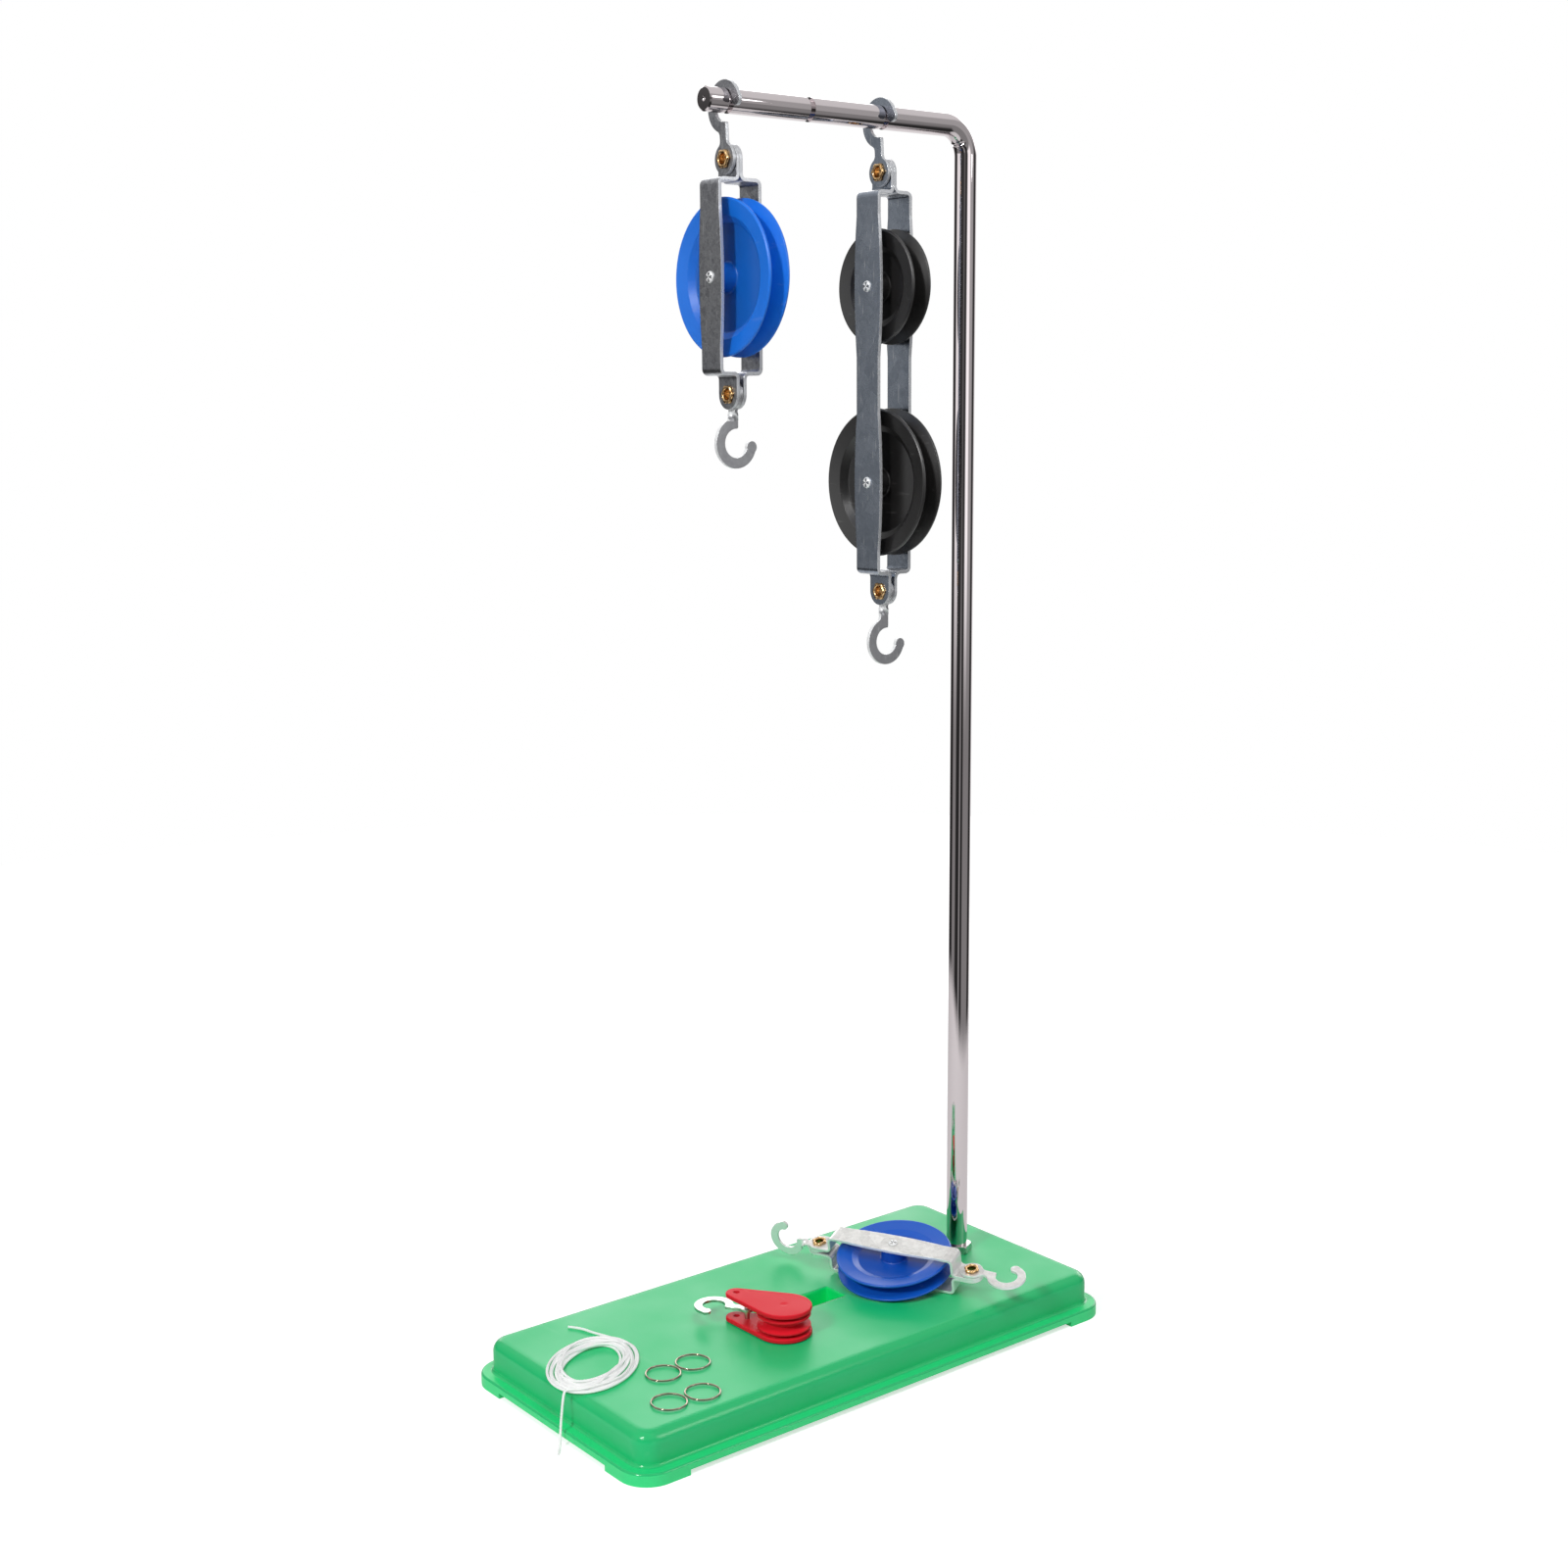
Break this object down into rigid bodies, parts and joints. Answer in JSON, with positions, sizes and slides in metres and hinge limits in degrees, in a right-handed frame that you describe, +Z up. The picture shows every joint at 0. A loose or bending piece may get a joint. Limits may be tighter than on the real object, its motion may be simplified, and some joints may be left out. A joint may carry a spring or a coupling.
{
  "type": "pulley demonstrator",
  "caption": "Bent rod stand on a moulded base with hanging pulley blocks, loose blocks, rings and string for classroom experiments with pulleys.",
  "frame": {"origin": "middle of the base at the level its feet stand on", "axes": "+Z up along the rod, +X along the base's long side towards the rod, so the arm points to -X; +Y across the base"},
  "size_m": [0.2795, 0.1349, 0.5539],
  "materials": {
    "green_plastic": "glossy moulded green",
    "chrome_steel": "mirror-bright plating",
    "zinc_steel": "zinc plated, faintly spangled",
    "brass": "bright brass",
    "blue_plastic": "glossy blue",
    "black_plastic": "satin black",
    "red_plastic": "satin-glossy red",
    "wire_steel": "bright drawn wire",
    "white_string": "twisted white string"
  },
  "bodies": {
    "base": {"base_moulding": "green_plastic", "support_rod": "chrome_steel", "rod_foot_nut": "zinc_steel", "rod_washer": "zinc_steel", "rod_lock_nut": "zinc_steel", "string_coil": "white_string", "string_tail": "white_string", "string_end": "white_string"},
    "single_hanger": {"single_upper_hook": "zinc_steel"},
    "single_block": {"single_front_strip": "zinc_steel", "single_rear_strip": "zinc_steel", "single_upper_eyelet": "brass", "single_lower_eyelet": "brass", "single_axle": "zinc_steel"},
    "single_wheel": {"single_sheave": "blue_plastic"},
    "single_load_hook": {"single_lower_hook": "zinc_steel"},
    "tandem_hanger": {"tandem_upper_hook": "zinc_steel"},
    "tandem_block": {"tandem_front_strip": "zinc_steel", "tandem_rear_strip": "zinc_steel", "tandem_upper_eyelet": "brass", "tandem_lower_eyelet": "brass", "tandem_upper_axle": "zinc_steel", "tandem_lower_axle": "zinc_steel"},
    "tandem_upper_wheel": {"tandem_upper_sheave": "black_plastic"},
    "tandem_lower_wheel": {"tandem_lower_sheave": "black_plastic"},
    "tandem_load_hook": {"tandem_lower_hook": "zinc_steel"},
    "small_block": {"small_front_strip": "zinc_steel", "small_rear_strip": "zinc_steel", "small_upper_eyelet": "brass", "small_lower_eyelet": "brass", "small_axle": "zinc_steel"},
    "small_wheel": {"small_sheave": "blue_plastic"},
    "small_plain_hook": {"small_upper_hook": "zinc_steel"},
    "small_turned_hook": {"small_lower_hook": "zinc_steel"},
    "plastic_block": {"plastic_low_cheek": "red_plastic", "plastic_high_cheek": "red_plastic", "plastic_axle": "red_plastic", "plastic_hook_pin": "zinc_steel"},
    "plastic_wheel": {"plastic_sheave": "red_plastic"},
    "plastic_swivel_hook": {"plastic_hook": "zinc_steel"},
    "ring_one": {"wire_ring_1": "wire_steel"},
    "ring_two": {"wire_ring_2": "wire_steel"},
    "ring_three": {"wire_ring_3": "wire_steel"},
    "ring_four": {"wire_ring_4": "wire_steel"}
  },
  "joints": [
    {"name": "single_swing", "type": "hinge", "parent": "base", "child": "single_hanger", "pos_m": [-0.0354, 0, 0.5457], "axis": [1, 0, 0], "range_deg": [-45, 45]},
    {"name": "single_eye_swing", "type": "hinge", "parent": "single_hanger", "child": "single_block", "pos_m": [-0.03287, 0, 0.52297], "axis": [1, 0, 0], "range_deg": [-45, 45]},
    {"name": "single_wheel_spin", "type": "hinge", "parent": "single_block", "child": "single_wheel", "pos_m": [-0.03287, 0, 0.47597], "axis": [1, 0, 0], "continuous": true},
    {"name": "single_hook_swing", "type": "hinge", "parent": "single_block", "child": "single_load_hook", "pos_m": [-0.03287, 0, 0.42896], "axis": [1, 0, 0], "range_deg": [-75, 75]},
    {"name": "tandem_swing", "type": "hinge", "parent": "base", "child": "tandem_hanger", "pos_m": [0.048, 0, 0.5457], "axis": [1, 0, 0], "range_deg": [-45, 45]},
    {"name": "tandem_eye_swing", "type": "hinge", "parent": "tandem_hanger", "child": "tandem_block", "pos_m": [0.05053, 0, 0.52297], "axis": [1, 0, 0], "range_deg": [-45, 45]},
    {"name": "tandem_upper_spin", "type": "hinge", "parent": "tandem_block", "child": "tandem_upper_wheel", "pos_m": [0.05053, 0, 0.47497], "axis": [1, 0, 0], "continuous": true},
    {"name": "tandem_lower_spin", "type": "hinge", "parent": "tandem_block", "child": "tandem_lower_wheel", "pos_m": [0.05053, 0, 0.39097], "axis": [1, 0, 0], "continuous": true},
    {"name": "tandem_hook_swing", "type": "hinge", "parent": "tandem_block", "child": "tandem_load_hook", "pos_m": [0.05053, 0, 0.34297], "axis": [1, 0, 0], "range_deg": [-75, 75]},
    {"name": "small_block_lift", "type": "slide", "parent": "base", "child": "small_block", "axis": [0, 0, 1], "range_m": [0, 0.06]},
    {"name": "small_wheel_spin", "type": "hinge", "parent": "small_block", "child": "small_wheel", "pos_m": [0.0504, -0.0088, 0.03057], "axis": [-0.202, -0.0908, 0.9752], "continuous": true},
    {"name": "small_plain_hook_swing", "type": "hinge", "parent": "small_block", "child": "small_plain_hook", "pos_m": [0.06639, -0.04437, 0.03057], "axis": [-0.202, -0.0908, 0.9752], "range_deg": [-70, 70]},
    {"name": "small_turned_hook_swing", "type": "hinge", "parent": "small_block", "child": "small_turned_hook", "pos_m": [0.03441, 0.02677, 0.03057], "axis": [-0.202, -0.0908, 0.9752], "range_deg": [-70, 30]},
    {"name": "plastic_block_lift", "type": "slide", "parent": "base", "child": "plastic_block", "axis": [0, 0, 1], "range_m": [0, 0.06]},
    {"name": "plastic_wheel_spin", "type": "hinge", "parent": "plastic_block", "child": "plastic_wheel", "pos_m": [-0.025, -0.02, 0.0269], "axis": [0, 0, 1], "continuous": true},
    {"name": "plastic_hook_swing", "type": "hinge", "parent": "plastic_block", "child": "plastic_swivel_hook", "pos_m": [-0.03135, -0.00156, 0.0269], "axis": [0, 0, 1], "range_deg": [-80, 50]},
    {"name": "ring_one_lift", "type": "slide", "parent": "base", "child": "ring_one", "axis": [0, 0, 1], "range_m": [0, 0.03]},
    {"name": "ring_two_lift", "type": "slide", "parent": "base", "child": "ring_two", "axis": [0, 0, 1], "range_m": [0, 0.03]},
    {"name": "ring_three_lift", "type": "slide", "parent": "base", "child": "ring_three", "axis": [0, 0, 1], "range_m": [0, 0.03]},
    {"name": "ring_four_lift", "type": "slide", "parent": "base", "child": "ring_four", "axis": [0, 0, 1], "range_m": [0, 0.03]}
  ]
}
